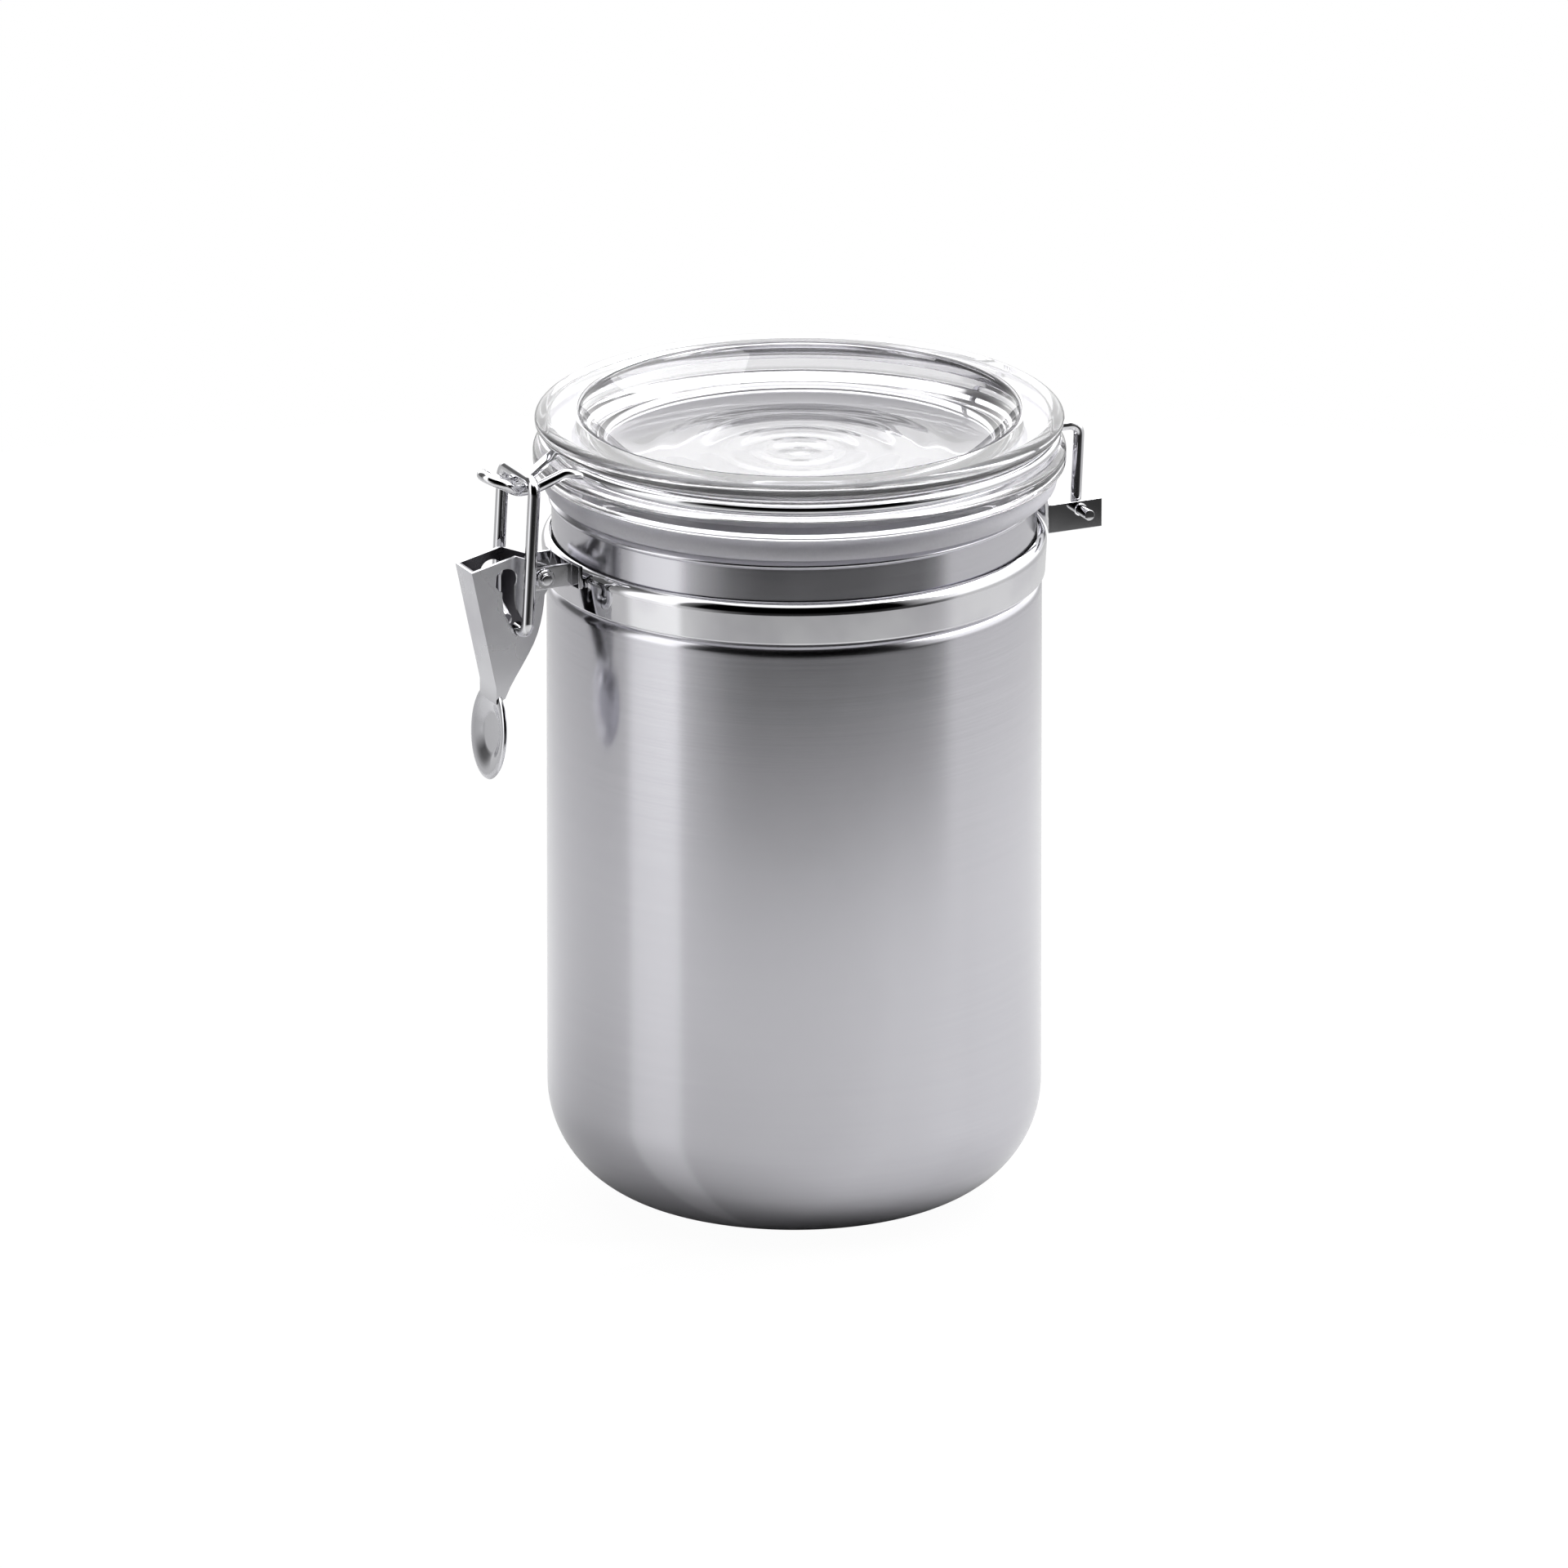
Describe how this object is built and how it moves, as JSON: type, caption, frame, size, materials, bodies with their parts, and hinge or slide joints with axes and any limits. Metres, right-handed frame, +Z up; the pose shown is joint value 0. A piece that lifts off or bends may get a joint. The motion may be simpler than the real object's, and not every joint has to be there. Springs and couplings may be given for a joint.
{
  "type": "storage canister",
  "caption": "Round steel storage canister with a clear hinged lid, a sealing gasket and a wire toggle latch.",
  "frame": {"origin": "centre of the flat underside that the canister stands on", "axes": "+Z up along the canister's axis; the latch is at -Y, the lid hinge is at +Y, and every hinge axis runs along X"},
  "size_m": [0.1184, 0.1456, 0.1805],
  "materials": {
    "brushed_steel": "satin, brushed round the body",
    "polished_steel": "bright polished",
    "clear_plastic": "clear, glossy",
    "silicone": "translucent grey-white, matt"
  },
  "bodies": {
    "canister": {"canister_shell": "brushed_steel", "clamp_band": "polished_steel", "latch_bracket": "polished_steel", "hinge_bracket": "polished_steel", "lever_pivot_pin": "polished_steel"},
    "toggle_lever": {"lever": "polished_steel"},
    "link": {"link_bail": "polished_steel"},
    "lid_assembly": {"lid": "clear_plastic", "gasket": "silicone", "lid_wire": "polished_steel"}
  },
  "joints": [
    {"name": "lever_pivot", "type": "hinge", "parent": "canister", "child": "toggle_lever", "pos_m": [0, -0.0637, 0.1514], "axis": [-1, 0, 0], "range_deg": [0, 90]},
    {"name": "link_pivot", "type": "hinge", "parent": "toggle_lever", "child": "link", "pos_m": [0, -0.069, 0.14], "axis": [-1, 0, 0], "range_deg": [-99, 0]},
    {"name": "lid_hinge", "type": "hinge", "parent": "canister", "child": "lid_assembly", "pos_m": [0, 0.0596, 0.1557], "axis": [-1, 0, 0], "range_deg": [0, 110]}
  ],
  "couplings": [
    {"joint": "link_pivot", "follows": "lever_pivot", "ratio": -1.1}
  ]
}
